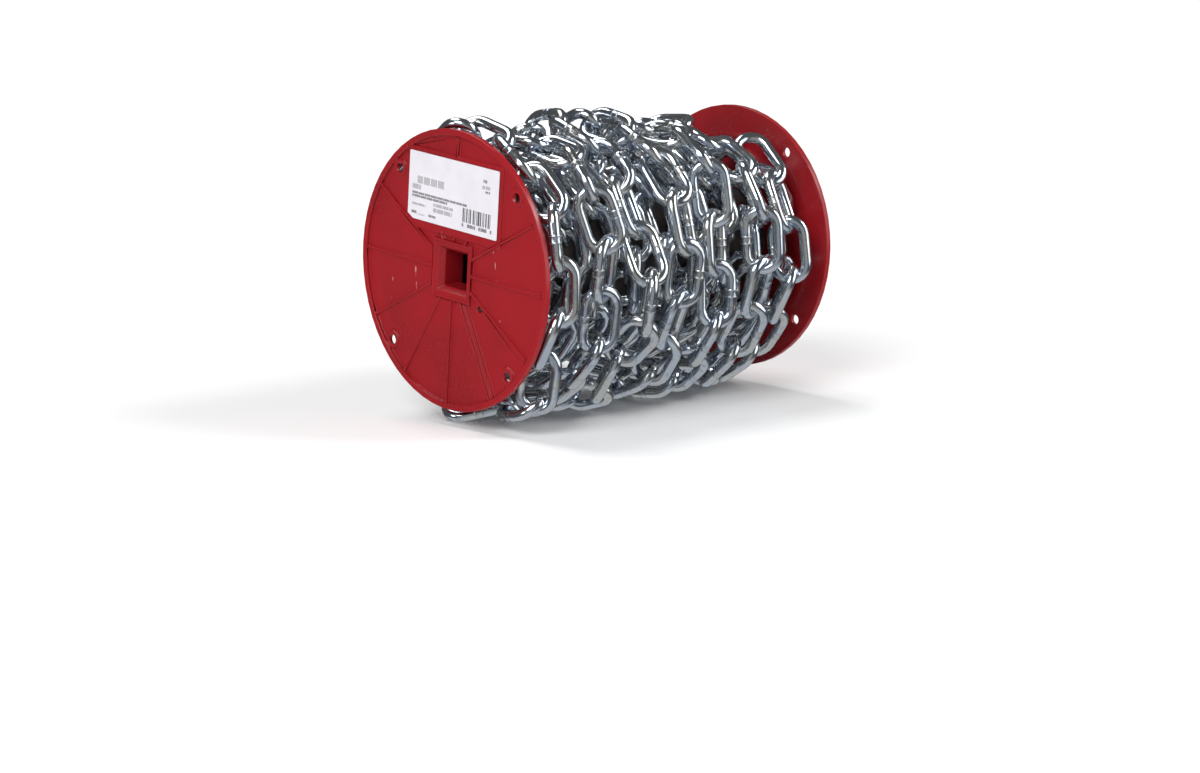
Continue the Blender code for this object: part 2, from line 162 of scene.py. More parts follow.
# The free end: where each of its links is aimed, with its roll in degrees, and how the last one lies
TAIL = ((0.0130, -0.0475, -0.0500, 53), (0.0170, -0.0280, -0.0634, -28),
        (0.0250, -0.0070, -0.0666, 52))
TAIL_EASE = radians(30)
END_LINK_CENTRE = (0.0215, 0.0070, -0.0675)
END_LINK_HEADING = radians(140)
END_LINK_DIP = radians(12)
END_LINK_ROLL = radians(-30)

# Smooth links, spun up from a round of wire: its sides, and the steps round each end
OUTER_LINK = (16, 10)
INNER_LINK = (8, 5)
DEEP_LINK = (6, 4)

# The weld on one side of an outer link, as (place along the side, swell), how far along its finish
# reaches, where its ridges begin, and how much of the finish is between them
WELD_PROFILE = ((0.0021, 1.0), (0.0017, 1.045), (0.0013, 1.01), (-0.0013, 1.01), (-0.0017, 1.045),
                (-0.0021, 1.0))
WELD_REACH = 0.0018
WELD_RIDGE = 0.0015
WELD_MIDDLE = 0.4

# The turns that lie on the barrel, in the gaps of the turns above them, and the part of a turn by
# which the last one is short
DEEP_RADIUS = 0.0334
DEEP_TURNS = 8
DEEP_SHORT = 0.5

# Moulded pieces: the width of their soft edges, the least angle of an edge that is softened, the
# angle up to which faces count as flat, and the angle up to which they are shaded as one
MOULDED_EDGE = 0.00042
MOULDED_ANGLE = radians(28)
FLAT_ANGLE = radians(1)
SMOOTH_ANGLE = radians(35)

# Pale scratches on the near flange, as (across, up, half length) seen from outside, how slender they
# are, and how far the face that they are on lies inside the rim's
SCRATCHES = ((-0.0285, -0.0030, 0.0030), (-0.0281, -0.0100, 0.0022), (-0.0464, -0.0082, 0.0021),
             (0.0304, 0.0056, 0.0022), (0.0310, -0.0012, 0.0007), (0.0336, -0.0205, 0.0008),
             (0.0292, 0.0118, 0.0009), (-0.0292, 0.0010, 0.0009))
SCRATCH_SLENDER = 5
WEB_FACE = 0.0016

# Second colours of the finishes
GRIME = (0.30, 0.32, 0.35)
WELD_GREY = (0.40, 0.41, 0.42)
RED_SPECK = (0.28, 0.03, 0.03)
RUBBED_RED = (0.72, 0.42, 0.42)

# Print on the label, as (left, right, bottom, top) in parts of the label's width and height
HEADLINE = (0.10, 0.405, 0.535, 0.645)
PALE_LINES = ((0.045, 0.14, 0.445, 0.515), (0.29, 0.515, 0.250, 0.295), (0.29, 0.50, 0.165, 0.225),
              (0.050, 0.20, 0.205, 0.240), (0.11, 0.20, 0.070, 0.085), (0.823, 0.915, 0.695, 0.745))
DARK_LINES = ((0.045, 0.66, 0.372, 0.405), (0.045, 0.445, 0.325, 0.360), (0.24, 0.32, 0.075, 0.110),
              (0.045, 0.10, 0.080, 0.120), (0.83, 0.87, 0.785, 0.830), (0.858, 0.915, 0.640, 0.672))
DIGITS = ((0.615, 0.632, 0.075, 0.125), (0.675, 0.765, 0.075, 0.125), (0.80, 0.89, 0.075, 0.125),
          (0.925, 0.942, 0.075, 0.125))

# Made-up bars: where they stand, which of their modules are dark, and the inked part of a module
BARS = (0.62, 0.925, 0.145, 0.350)
BAR_MODULES = "1101001100101100011010010111011001010011001101"
BAR_FILL = 0.96

# Strokes that stand for letters, as (length, gap) in parts of the label's width, and how many gaps
# are between words
PALE_STROKES = (0.0055, 0.0045)
HEADLINE_STROKES = (0.0035, 0.0065)
DARK_STROKES = (0.0065, 0.0030)
WORD_GAP = 2.6
HEADLINE_SEED = 3

# How far the middle of the print stands off the label, and its thickness
PRINT_LIFT = 0.00003
PRINT_THICKNESS = 0.00004

# Soft boxes round the dark studio: the way to each, where it fades out and is full, and how bright
SOFT_BOXES = (((0, 0, -1), 0.38, 0.72, 0.50), ((-0.66, -0.72, -0.20), 0.72, 0.98, 0.30),
              ((-0.985, 0.13, 0.10), 0.983, 0.993, 6.0), ((0.52, -0.82, 0.25), 0.88, 0.95, 2.0))
STUDIO_TINT = (0.95, 0.975, 1, 1)

# Suns, as (name, the way to it, its spread in degrees, its part of the main light)
SUNS = (("left_sun", (-0.75, -0.28, 0.60), 34, 1.0), ("right_sun", (0.55, -0.55, 0.62), 22, 0.6),
        ("back_sun", (-0.05, 0.45, 0.90), 30, 0.85))

# Sizes of the stage
FLOOR_SIZE = 8
BACKDROP_RADIUS = 6

# Camera, fitted to the near flange, the links and the far flange; places in the winding's frame
CAMERA_PLACE = (-0.87549, -1.04804, 0.19796)
CAMERA_AIM = (0.66868, 0.72066, -0.18307)
CAMERA_LENS = 86.6
SENSOR = 36.0

Link = namedtuple("Link", "centre along across stretch end")


def oval(end_steps, side_steps):
    """Centreline of a link in its own plane, as points (along, across)."""
    points = []
    for side in (1, -1):
        for i in range(end_steps + 1):
            angle = -pi / 2 + pi * i / end_steps
            points.append((side * (HALF_STRAIGHT + END_RADIUS * cos(angle)),
                           side * END_RADIUS * sin(angle)))
        for i in range(1, side_steps):
            points.append((side * HALF_STRAIGHT * (1 - 2 * i / side_steps), side * END_RADIUS))
    return np.array(points)


SAMPLES = oval(end_steps=12, side_steps=6)


def joint(x, radius, angle):
    """Point where two links bear on each other; angle 0 faces -Y and a quarter turn is the top."""
    return np.array([x, -radius * cos(angle), radius * sin(angle)])


def link_between(start, end, roll, stretch, slack):
    """A link that hangs between two joints, rolled about the line between them.

    The slack is the play at its start.
    """
    along = end - start
    along = along / np.linalg.norm(along)
    offset = HALF_LINK - (WIRE + slack) / 2
    centre = start + along * offset
    outward = np.array([0.0, centre[1], centre[2]])
    side = np.cross(outward, along)
    side = side / np.linalg.norm(side)
    across = side * cos(roll) + np.cross(along, side) * sin(roll)
    return Link(centre, along, across, stretch, end)


def centreline(link, shape):
    """The points of an outline in the link's own plane, in the winding's frame."""
    return link.centre + np.outer(shape[:, 0], link.along) + np.outer(shape[:, 1], link.across)


def eased(roll, target, most=ROLL_EASE):
    """A roll eased towards its target by a few degrees; half a turn makes no difference to a link."""
    off = (target - roll + pi / 2) % pi - pi / 2
    return roll + min(max(off, -most), most)


def nearest(points, others):
    """Least distance between two sets of points."""
    squares = (points ** 2).sum(1)[:, None] + (others ** 2).sum(1)[None, :] - 2 * points @ others.T
    return sqrt(max(squares.min(), 0))


class Winding:
    """The links laid so far. Each new link drops as low as the ones under it allow."""

    def __init__(self):
        self.links = []
        self.points = []

    def add(self, link):
        self.links.append(link)
        self.points.append(centreline(link, SAMPLES))

    def nearby(self, place, skip):
        """Points of the links that reach near a place, without those of one link."""
        reach = 2 * HALF_LINK + WIRE + PITCH / 2
        near = [points for link, points in zip(self.links, self.points)
                if link is not skip and np.linalg.norm(link.centre - place) < reach]
        return np.concatenate(near) if near else None

    def lay(self, first, last, guide_x, guide_radius, lift, stretch_of):
        """Lay links from one winding angle to another, in radians. Angle 0 is the top.

        Where a link finds no clear place, the one before it is taken up and laid a little higher.
        """
        radius = guide_radius(first) + lift
        start = joint(guide_x(first), radius, pi / 2 - first)
        states = [(first, start, HOOK_GAP, radians(-45), stretch_of(first))]
        raised = {}
        tries = {}
        while states[-1][0] < last:
            step = len(states) - 1
            turned, start, slack_start, roll, stretch = states[-1]
            radius = hypot(start[1], start[2])
            ahead = turned + PITCH / radius
            following = stretch_of(ahead)
            split = stretch != following or ahead >= last
            slack_end = HOOK_GAP if split else -BEARING
            even = radians(45 + 90 * (step % 2))
            even += WOBBLE * sin(WOBBLE_STEP * len(self.links) + WOBBLE_START)
            make = self.maker(start, eased(roll + pi / 2, even), stretch, slack_start, slack_end)
            found = self.lowest(make, start, turned, guide_x(ahead),
                                guide_radius(ahead) + raised.get(step, 0), slack_start)
            if found[0] > REFUSED and step > 0 and tries.get(step, 0) < MOST_TRIES:
                tries[step] = tries.get(step, 0) + 1
                raised[step - 1] = raised.get(step - 1, 0) + RAISE_STEP
                self.links.pop()
                self.points.pop()
                states.pop()
                continue
            _, link, ahead, roll = found
            self.add(link)
            states.append((ahead, link.end, slack_end, roll, following))
        return roll

    def maker(self, start, even_roll, stretch, slack_start, slack_end):
        """A function that makes the next link from where its far joint is and its extra twist."""
        pitch = 2 * HALF_LINK - WIRE - (slack_start + slack_end) / 2

        def make(turned, x, radius, twist):
            here = hypot(start[1], start[2])
            cosine = (here ** 2 + radius ** 2 + (x - start[0]) ** 2 - pitch ** 2) / (2 * here * radius)
            if abs(cosine) > 1:
                return None
            ahead = turned + acos(cosine)
            end = joint(x, radius, pi / 2 - ahead)
            link = link_between(start, end, even_roll + twist, stretch, slack_start)
            return link, ahead, even_roll + twist
        return make

    def lowest(self, make, start, turned, x, radius, slack_start):
        """The lowest clear place for the next link, near the guide's own place and roll."""
        previous = self.links[-1] if self.links else None
        near = self.nearby(start, previous)
        best = (2 * REFUSED, None)
        for lift in np.arange(0, MOST_LIFT, LIFT_STEP):
            if best[0] < lift:
                break
            for shift in SHIFTS:
                for twist in TWISTS:
                    made = make(turned, x + shift, radius + lift, twist)
                    if made is None:
                        continue
                    room = self.room(centreline(made[0], SAMPLES), near, slack_start)
                    cost = lift + SHIFT_COST * abs(shift) + TWIST_COST * abs(twist)
                    if previous and previous.end is start:
                        bend = acos(min(1, previous.along @ made[0].along))
                        cost += BEND_COST * max(0, bend - EASY_BEND)
                    if room < 0:
                        cost += REFUSED - TOUCH_COST * room
                    if cost < best[0]:
                        best = (cost, *made)
        return best

    def room(self, points, near, slack):
        """How far a link is from touching anything, less than 0 where it touches."""
        half = WIRE / 2
        hooked = WIRE + FIT_GAP if slack > 0 else HOOKED_LINKS
        limits = [
            np.hypot(points[:, 1], points[:, 2]).min() - CORE_RADIUS - half - FIT_GAP,
            points[:, 2].min() - FLOOR - half,
            self.flange_room(points[:, 0], points),
            self.flange_room(REEL_WIDTH - points[:, 0], points),
        ]
        if self.points:
            limits.append(nearest(points, self.points[-1]) - hooked)
        if near is not None:
            limits.append(nearest(points, near) - LINK_CLEARANCE)
        return min(limits)

    def flange_room(self, depth, points):
        """Room to one flange: a link keeps inside it, or leans over its rim."""
        inside = depth - FLANGE_THICKNESS - WIRE / 2 - 2 * FIT_GAP
        over = np.hypot(points[:, 1], points[:, 2]) - FLANGE_RADIUS - WIRE / 2 - 2 * FIT_GAP
        return np.maximum(inside, over).min()

    def trail(self, aims, roll):
        """Lay the free end from the last link: each link points at its own aim."""
        start = self.links[-1].end
        slack_start = HOOK_GAP
        for x, y, z, even in aims:
            pitch = 2 * HALF_LINK - WIRE - (slack_start - BEARING) / 2
            towards = np.array([x, y, z]) - start
            end = start + towards * pitch / np.linalg.norm(towards)
            roll = eased(roll + pi / 2, radians(even), TAIL_EASE)
            self.add(link_between(start, end, roll, "chain_tail", slack_start))
            start = end
            slack_start = -BEARING


def end_link():
    """The last link of all, lying on the floor with its raised end through the link before it."""
    along = np.array([cos(END_LINK_DIP) * cos(END_LINK_HEADING),
                      cos(END_LINK_DIP) * sin(END_LINK_HEADING), -sin(END_LINK_DIP)])
    side = np.cross(np.array([0.0, 0.0, -1.0]), along)
    side = side / np.linalg.norm(side)
    across = side * cos(END_LINK_ROLL) + np.cross(along, side) * sin(END_LINK_ROLL)
    centre = np.array(END_LINK_CENTRE)
    return Link(centre, along, across, "chain_end_link", centre + along * PITCH / 2)


def between(values, turned, hold):
    """Place along X at a winding angle: steady for a part of each turn, then over to the next."""
    turn = int(turned // (2 * pi))
    part = min(max(((turned / (2 * pi)) % 1 - hold) / (1 - hold), 0), 1)
    part = part * part * (3 - 2 * part)
    first = values[min(max(turn, 0), len(values) - 1)]
    second = values[min(turn + 1, len(values) - 1)]
    return first + (second - first) * part


def sagging_radius(turned):
    """Guide radius of the outer layer: slack loops hang under the reel and lie on the floor.

    Where the last turn comes over the top it climbs onto the near flange's rim.
    """
    if abs(turned - 2 * pi * (len(OUTER_TURNS) - 1)) < RIM_LINK_REACH:
        return RIM_LINK_RADIUS
    from_bottom = abs((turned % (2 * pi)) - pi)
    if from_bottom < SAG_FLAT:
        return SAG_HEIGHT / cos(from_bottom)
    if from_bottom < SAG_END:
        return SAG_RADIUS + (OUTER_RADIUS - SAG_RADIUS) * (from_bottom - SAG_FLAT) / (SAG_END - SAG_FLAT)
    return OUTER_RADIUS


def wind_chain():
    """Both layers of links: the inner one away from the near flange, the outer one back to it."""
    winding = Winding()
    inner = np.linspace(INNER_FIRST, INNER_LAST, INNER_TURNS)
    winding.lay(0, 2 * pi * (INNER_TURNS - INNER_SHORT), lambda t: between(inner, t, INNER_HOLD),
                lambda t: CORE_RADIUS + INNER_LIFT, 0, lambda t: INNER_NAME)
    roll = winding.lay(OUTER_START, 2 * pi * (len(OUTER_TURNS) - 1) + OUTER_END,
                       lambda t: between(OUTER_TURNS, t, OUTER_HOLD), sagging_radius,
                       OUTER_START_LIFT, stretch_name)
    winding.trail(TAIL, roll)
    winding.add(end_link())
    return winding.links


def stretch_name(turned):
    """Each turn of the outer layer is three stretches, a third of a turn each."""
    third = int((turned - STRETCH_START) // STRETCH_ANGLE)
    return f"chain_turn_{third // 3 + 1}_{STRETCH_NAMES[third % 3]}"


class ChainLooks(bpy.types.PropertyGroup):
    zinc: FloatVectorProperty(name="Zinc", description="Colour of the zinc plate", subtype="COLOR",
                              size=3, default=(0.55, 0.60, 0.675), min=0, max=1)
    tint: FloatVectorProperty(name="Tint", description="Colour that the passivated plate drifts to",
                              subtype="COLOR", size=3, default=(0.60, 0.61, 0.60), min=0, max=1)
    polish: FloatProperty(name="Polish", description="Roughness of the bright wire", default=0.14,
                          min=0, max=1, subtype="FACTOR")


class ReelLooks(bpy.types.PropertyGroup):
    red: FloatVectorProperty(name="Red", description="Colour of the moulded plastic", subtype="COLOR",
                             size=3, default=(0.305, 0.010, 0.015), min=0, max=1)
    # The board's colour is set darker than the board itself, so that where the barrel shows between the
    # turns it stands for painted shade deep in the winding.
    board: FloatVectorProperty(name="Board", description="Colour of the board tube", subtype="COLOR",
                               size=3, default=(0.07, 0.060, 0.052), min=0, max=1)
    edge: FloatProperty(name="Edge", description="Width of the soft edges", default=MOULDED_EDGE,
                        min=0, unit="LENGTH")


class LabelLooks(bpy.types.PropertyGroup):
    paper: FloatVectorProperty(name="Paper", description="Colour of the label", subtype="COLOR",
                               size=3, default=(0.725, 0.70, 0.745), min=0, max=1)
    ink: FloatVectorProperty(name="Ink", description="Colour of the print", subtype="COLOR",
                             size=3, default=(0.10, 0.10, 0.11), min=0, max=1)
    pale_ink: FloatVectorProperty(name="Pale ink", description="Colour of the small print",
                                  subtype="COLOR", size=3, default=(0.24, 0.24, 0.26), min=0, max=1)


class StageLooks(bpy.types.PropertyGroup):
    floor: FloatVectorProperty(name="Floor", description="Colour of the floor", subtype="COLOR",
                               size=3, default=(0.95, 0.95, 0.95), min=0, max=1)
    light: FloatProperty(name="Light", description="Strength of the main light", default=2.0, min=0)
    dark: FloatProperty(name="Dark", description="Brightness of the studio between its lights",
                        default=0.10, min=0)


class Socket:
    """A node's output that can be used in arithmetic."""

    def __init__(self, shader, link):
        self.shader = shader
        self.link = link

    def maths(self, operation, *values):
        return self.shader.node("ShaderNodeMath", {"operation": operation}, dict(enumerate(values)))

    def __add__(self, other):
        return self.maths("ADD", self, other)

    __radd__ = __add__

    def __rsub__(self, other):
        return self.maths("SUBTRACT", other, self)

    def __mul__(self, other):
        return self.maths("MULTIPLY", self, other)

    def clamped(self):
        return self.maths("MINIMUM", self.maths("MAXIMUM", self, 0), 1)

    def above(self, low, high):
        """0 below low, 1 above high, smooth between."""
        return self.shader.node("ShaderNodeMapRange", {"interpolation_type": "SMOOTHSTEP"},
                                {"Value": self, "From Min": low, "From Max": high})


class Shader:
    """One material's nodes, built from expressions."""

    def __init__(self, name, colour, roughness, metallic):
        self.material = bpy.data.materials.new(name)
        self.material.use_nodes = True
        self.tree = self.material.node_tree
        self.surface = self.tree.nodes["Principled BSDF"]
        self.set("Base Color", (*colour, 1))
        self.set("Roughness", roughness)
        self.set("Metallic", metallic)

    def set(self, socket, value):
        self.join(self.surface.inputs[socket], value)

    def join(self, socket, value):
        """Link a node's output to a socket, or set the socket's own value."""
        if isinstance(value, Socket):
            self.tree.links.new(value.link, socket)
        else:
            socket.default_value = value

    def node(self, kind, settings, values, output=0):
        """The output of a new node, with its settings made and its sockets joined."""
        made = self.tree.nodes.new(kind)
        for name, value in settings.items():
            setattr(made, name, value)
        for name, value in values.items():
            self.join(made.inputs[name], value)
        return Socket(self, made.outputs[output])

    def place(self):
        return self.node("ShaderNodeTexCoord", {}, {}, "Object")

    def noise(self, scale, detail=3.0, place=None):
        return self.node("ShaderNodeTexNoise", {}, {"Vector": place or self.place(), "Scale": scale,
                                                    "Detail": detail})

    def stretched(self, scale):
        """The surface's own place, stretched by a different amount along each axis."""
        return self.node("ShaderNodeMapping", {}, {"Vector": self.place(), "Scale": scale})

    def blend(self, mask, first, second):
        """A colour between two others."""
        made = self.tree.nodes.new("ShaderNodeMix")
        made.data_type = "RGBA"
        self.join(made.inputs[0], mask)
        self.join(made.inputs[6], first if isinstance(first, Socket) else (*first, 1))
        self.join(made.inputs[7], second if isinstance(second, Socket) else (*second, 1))
        return Socket(self, made.outputs[2])

    def scratch(self, centre, reach):
        """1 inside a slender upright oval of the surface and 0 outside it."""
        stretch = (1, SCRATCH_SLENDER, 1)
        middle = tuple(part * scale for part, scale in zip(centre, stretch))
        away = self.node("ShaderNodeVectorMath", {"operation": "DISTANCE"},
                         {0: self.stretched(stretch), 1: middle}, "Value")
        return 1 - away.above(0.6 * reach, reach)

    def bump(self, height, distance):
        self.set("Normal", self.node("ShaderNodeBump", {}, {"Height": height, "Distance": distance,
                                                            "Strength": 1.0}))


def zinc_plate(looks):
    """Bright zinc on drawn wire: a drifting tint, a little grime, shallow waves and a dull weld."""
    shader = Shader("zinc_plate", looks.zinc, looks.polish, 1)
    weld = shader.node("ShaderNodeAttribute", {"attribute_name": "weld"}, {}, "Fac")
    drift = shader.noise(90, 2).above(0.40, 0.62)
    grime = shader.noise(420, 4).above(0.52, 0.74)
    plate = shader.blend(drift, tuple(looks.zinc), tuple(looks.tint))
    plate = shader.blend(grime * 0.4, plate, GRIME)
    shader.set("Base Color", shader.blend(weld * 0.5, plate, WELD_GREY))
    shader.set("Roughness", looks.polish + grime * 0.10 + drift * 0.04 + weld * 0.14)
    rough_weld = shader.noise(2600, 4) * weld
    waves = shader.noise(230, 2) * 0.9 + shader.noise(1500, 3) * 0.12
    shader.bump(waves + rough_weld * 3, 0.00006)
    return shader.material


def wound_board(looks):
    """Grey-brown board with a fibrous face and faint stains, its colour darkened as painted shade for
    the deep gaps between turns.
    """
    shader = Shader("wound_board", looks.board, 0.9, 0)
    fibre = shader.noise(700, 5).above(0.35, 0.7)
    stain = shader.noise(40, 3).above(0.4, 0.7)
    face = shader.blend(fibre * 0.5, tuple(looks.board), tuple(1.5 * part for part in looks.board))
    shader.set("Base Color", shader.blend(stain * 0.6, face, tuple(0.6 * part for part in looks.board)))
    shader.set("Roughness", 0.85 + fibre * 0.1)
    shader.bump(fibre, 0.00008)
    return shader.material


def moulded_red(looks):
    """Moulded red plastic with flow marks, fine specks, and pale scratches where it has been rubbed."""
    shader = Shader("moulded_red", looks.red, 0.34, 0)
    flow = shader.noise(28, 3).above(0.35, 0.70)
    speck = shader.noise(900, 2).above(0.66, 0.74)
    broken = shader.noise(1.0, 3, shader.stretched((900, 900, 400))).above(0.40, 0.60)
    rub = sum(shader.scratch(on_near_flange(across, up), reach) for across, up, reach in SCRATCHES)
    rub = rub.clamped() * broken
    red = shader.blend(flow, tuple(looks.red), tuple(0.84 * part for part in looks.red))
    red = shader.blend(speck * 0.25, red, RED_SPECK)
    shader.set("Base Color", shader.blend(rub * 0.7, red, RUBBED_RED))
    shader.set("Roughness", 0.19 + flow * 0.06 + rub * 0.2 + shader.noise(300, 3) * 0.06)
    shader.bump(shader.noise(1100, 3) * 0.6 + shader.noise(60, 2) * 2.5, 0.00005)
    shader.set("Specular IOR Level", 0.35)
    return shader.material


def label_paper(looks):
    """Coated white paper with a faint grey drift."""
    shader = Shader("label_paper", looks.paper, 0.5, 0)
    drift = shader.noise(60, 2)
    shader.set("Base Color", shader.blend(drift.above(0.4, 0.7), tuple(looks.paper),
                                          tuple(0.94 * part for part in looks.paper)))
    shader.set("Roughness", 0.42 + drift * 0.15)
    shader.bump(shader.noise(900, 3) + shader.noise(45, 2) * 3, 0.00003)
    return shader.material


def label_ink(name, colour):
    """Thermal print, a little broken up."""
    shader = Shader(name, colour, 0.5, 0)
    worn = shader.noise(2200, 3).above(0.50, 0.72)
    shader.set("Base Color", shader.blend(worn * 0.5, colour, tuple(part + 0.2 for part in colour)))
    shader.set("Roughness", 0.45 + worn * 0.2)
    return shader.material


def pale_floor(looks):
    """Plain matt white."""
    shader = Shader("pale_floor", looks.floor, 0.6, 0)
    shader.set("Roughness", 0.55 + shader.noise(3, 2) * 0.1)
    return shader.material


def on_near_flange(across, up):
    """World place of a point on the outside of the near flange."""
    return (NEAR_FACE + WEB_FACE, AXIS_Y - across, AXIS_Z + up)


def deselect_all():
    if bpy.context.object and bpy.context.object.mode != "OBJECT":
        bpy.ops.object.mode_set(mode="OBJECT")
    bpy.ops.object.select_all(action="DESELECT")


def model_link(sides, end_steps, weld_profile=()):
    """One link along X, its weld on the +Y side: a round of wire spun, drawn out and spun again."""
    deselect_all()
    bpy.ops.mesh.primitive_circle_add(vertices=sides, radius=WIRE / 2, fill_type="NOTHING",
                                      location=(HALF_STRAIGHT, -END_RADIUS, 0), rotation=(0, pi / 2, 0))
    link = bpy.context.object
    link.name = "link_model"
    bpy.ops.object.transform_apply(location=True, rotation=True, scale=True)
    bpy.ops.object.mode_set(mode="EDIT")
    bpy.ops.mesh.select_all(action="SELECT")
    bpy.ops.mesh.spin(steps=end_steps, angle=-pi, center=(HALF_STRAIGHT, 0, 0), axis=(0, 0, 1))
    here = HALF_STRAIGHT
    size = 1.0
    for along, swell in weld_profile + ((-HALF_STRAIGHT, 1.0),):
        bpy.ops.mesh.extrude_region_move(TRANSFORM_OT_translate={"value": (along - here, 0, 0)})
        bpy.ops.transform.resize(value=(1, swell / size, swell / size),
                                 center_override=(along, END_RADIUS, 0))
        here = along
        size = swell
    bpy.ops.mesh.spin(steps=end_steps, angle=-pi, center=(-HALF_STRAIGHT, 0, 0), axis=(0, 0, 1))
    bpy.ops.mesh.extrude_region_move(TRANSFORM_OT_translate={"value": (2 * HALF_STRAIGHT, 0, 0)})
    bpy.ops.mesh.select_all(action="SELECT")
    bpy.ops.mesh.remove_doubles(threshold=1e-6)
    bpy.ops.mesh.normals_make_consistent(inside=False)
    bpy.ops.object.mode_set(mode="OBJECT")
    bpy.ops.object.shade_smooth()
    weld = link.data.attributes.new("weld", "FLOAT", "POINT")
    for vertex in link.data.vertices:
        if vertex.co.y > 0 and abs(vertex.co.x) < WELD_REACH:
            weld.data[vertex.index].value = 1.0 if abs(vertex.co.x) > WELD_RIDGE else WELD_MIDDLE
    return link


def lay_copies(model, links, name, finish):
    """Copies of the model at every link of a stretch, joined into one piece.

    Some copies are turned over, so that the welds lie on either side.
    """
    deselect_all()
    for count, link in enumerate(links):
        mesh = model.data.copy()
        weld_side = 1 if (count * 5 + count // 2) % 3 else -1
        across = weld_side * link.across
        upright = np.cross(link.along, across)
        matrix = Matrix.Identity(4)
        for row in range(3):
            matrix[row][0] = link.along[row]
            matrix[row][1] = across[row]
            matrix[row][2] = upright[row]
            matrix[row][3] = link.centre[row] + ONTO_PART[row]
        mesh.transform(matrix)
        copy = bpy.data.objects.new(f"{name}_{count}", mesh)
        bpy.context.collection.objects.link(copy)
        copy.select_set(True)
        bpy.context.view_layer.objects.active = copy
    bpy.ops.object.join()
    piece = bpy.context.object
    piece.name = name
    piece.data.name = name
    piece.data.materials.clear()
    piece.data.materials.append(finish)
    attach(piece, "root")
    return piece


def deep_links():
    """The turns on the barrel, each in the gap between two turns above it."""
    spacing = (INNER_LAST - INNER_FIRST) / (INNER_TURNS - 1)
    places = [INNER_FIRST + spacing * (turn + 0.5) for turn in range(DEEP_TURNS)]
    links = []
    turned = 0.0
    start = joint(between(places, turned, INNER_HOLD), DEEP_RADIUS, pi / 2)
    step = 2 * asin(PITCH / 2 / DEEP_RADIUS)
    while turned < 2 * pi * (DEEP_TURNS - DEEP_SHORT):
        turned += step
        end = joint(between(places, turned, INNER_HOLD), DEEP_RADIUS, pi / 2 - turned)
        roll = radians(45 + 90 * (len(links) % 2))
        turn = int(turned // (2 * pi)) + 1
        links.append(link_between(start, end, roll, f"chain_deep_turn_{turn}", 0))
        start = end
    return links


WOUND = {}


def wound_links():
    """The links of both layers by stretch, worked out once. The inner layer is split into pieces."""
    if not WOUND:
        count = 0
        for link in wind_chain():
            stretch = link.stretch
            if stretch == INNER_NAME:
                stretch = f"{INNER_NAME}_{count // INNER_PIECE + 1}"
                count += 1
            WOUND.setdefault(stretch, []).append(link)
    return WOUND


def soften(name, node, finish, width):
    """A copy of a moulded node with soft edges and evenly shaded flats, which stands for it."""
    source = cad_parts[node]
    deselect_all()
    piece = bpy.data.objects.new(name, source.data.copy())
    bpy.context.collection.objects.link(piece)
    piece.select_set(True)
    bpy.context.view_layer.objects.active = piece
    bpy.ops.object.mode_set(mode="EDIT")
    bpy.ops.mesh.select_all(action="SELECT")
    bpy.ops.mesh.remove_doubles(threshold=2e-6)
    bpy.ops.mesh.dissolve_limited(angle_limit=FLAT_ANGLE)
    bpy.ops.object.mode_set(mode="OBJECT")
    rounding = piece.modifiers.new("soft_edges", "BEVEL")
    rounding.width = width
    rounding.segments = 2
    rounding.limit_method = "ANGLE"
    rounding.angle_limit = MOULDED_ANGLE
    rounding.use_clamp_overlap = False
    bpy.ops.object.modifier_apply(modifier=rounding.name)
    bpy.ops.object.shade_smooth_by_angle(angle=SMOOTH_ANGLE)
    evening = piece.modifiers.new("even_shading", "WEIGHTED_NORMAL")
    evening.keep_sharp = True
    bpy.ops.object.modifier_apply(modifier=evening.name)
    piece.data.materials.clear()
    piece.data.materials.append(finish)
    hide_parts(node)
    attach(piece, "root")


def print_tile(tile, left, right, bottom, top):
    """A copy of the print tile over a patch that is given in parts of the label's width and height."""
    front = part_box("label")[0][0]
    mesh = tile.data.copy()
    matrix = Matrix.Identity(4)
    matrix[0][0] = PRINT_THICKNESS
    matrix[0][3] = front - PRINT_LIFT
    wide = (LABEL[1] - LABEL[0]) * (right - left)
    tall = (LABEL[3] - LABEL[2]) * (top - bottom)
    across = LABEL[0] + (LABEL[1] - LABEL[0]) * (left + right) / 2
    up = LABEL[2] + (LABEL[3] - LABEL[2]) * (bottom + top) / 2
    turn = (cos(PATTERN_TURN), sin(PATTERN_TURN))
    matrix[1][1], matrix[1][2] = -wide * turn[0], tall * turn[1]
    matrix[2][1], matrix[2][2] = wide * turn[1], tall * turn[0]
    matrix[1][3] = AXIS_Y - (across * turn[0] - up * turn[1])
    matrix[2][3] = AXIS_Z + across * turn[1] + up * turn[0]
    mesh.transform(matrix)
    copy = bpy.data.objects.new("print_copy", mesh)
    bpy.context.collection.objects.link(copy)
    return copy


def words(tile, patch, seed, stroke, gap):
    """A line of print as short strokes in groups, which stand for words. The seed shifts the groups."""
    left, right, bottom, top = patch
    tiles = []
    place = left
    step = 0
    while place + stroke <= right + 1e-6:
        tiles.append(print_tile(tile, place, place + stroke, bottom, top))
        step += 1
        place += stroke + gap * (WORD_GAP if (seed + step * 3) % 7 == 0 else 1)
    return tiles


def print_piece(name, tiles, finish):
    """The tiles of one ink, joined into a piece on the label."""
    deselect_all()
    for tile in tiles:
        tile.select_set(True)
    bpy.context.view_layer.objects.active = tiles[0]
    bpy.ops.object.join()
    piece = bpy.context.object
    piece.name = name
    piece.data.name = name
    bpy.ops.object.mode_set(mode="EDIT")
    bpy.ops.mesh.select_all(action="SELECT")
    bpy.ops.mesh.normals_make_consistent(inside=False)
    bpy.ops.object.mode_set(mode="OBJECT")
    piece.data.materials.clear()
    piece.data.materials.append(finish)
    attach(piece, "root")


